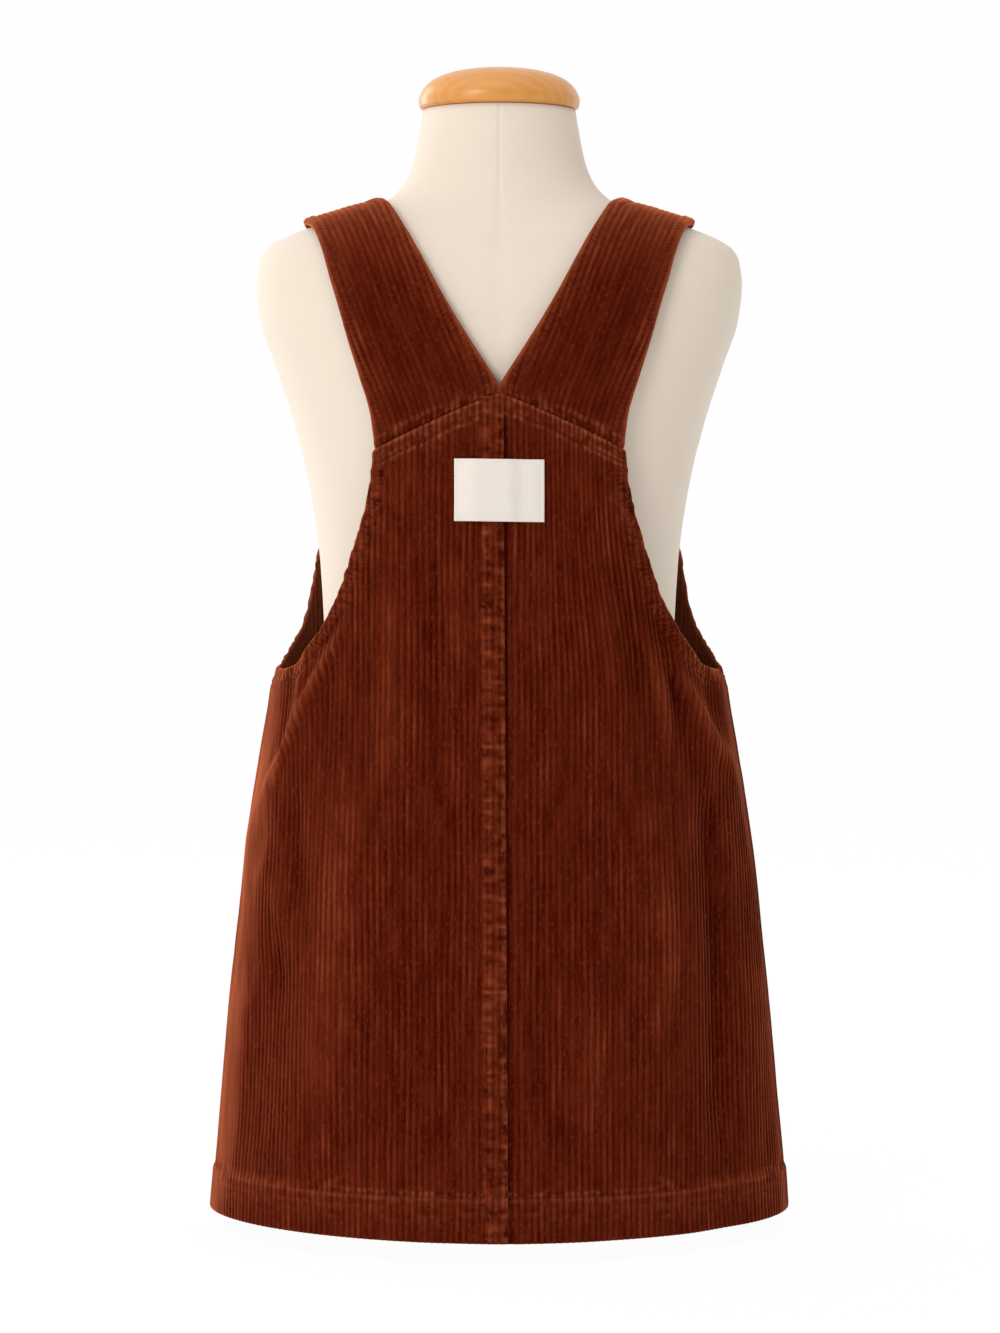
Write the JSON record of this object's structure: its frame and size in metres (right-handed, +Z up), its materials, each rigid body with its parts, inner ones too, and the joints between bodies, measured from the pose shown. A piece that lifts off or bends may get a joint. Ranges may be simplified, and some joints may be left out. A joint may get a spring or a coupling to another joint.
{
  "type": "overall dress on a child's dress form",
  "caption": "Corduroy overall dress with wide shoulder straps, felled centre back seam and A-line skirt, worn by a limbless child's dress form with a wood neck cap.",
  "frame": {"origin": "middle of the dress form's flat base, on the surface it stands on", "axes": "+Z up; the dress's front and bib face -Y, its back +Y; +X is the wearer's left"},
  "size_m": [0.288, 0.2144, 0.577],
  "materials": {
    "corduroy": "rust brown wide-wale cotton corduroy, matt with a pile sheen",
    "label_twill": "plain cream woven twill",
    "button_plastic": "polished brown plastic",
    "form_cover": "stretched cream jersey, matt",
    "cap_wood": "varnished light wood"
  },
  "bodies": {
    "root": {"back_left": "corduroy", "back_right": "corduroy", "centre_back_welt": "corduroy", "front": "corduroy", "strap_left": "corduroy", "strap_right": "corduroy", "back_label": "label_twill", "button_left": "button_plastic", "button_right": "button_plastic", "form_torso": "form_cover", "neck_cap": "cap_wood"}
  },
  "joints": []
}
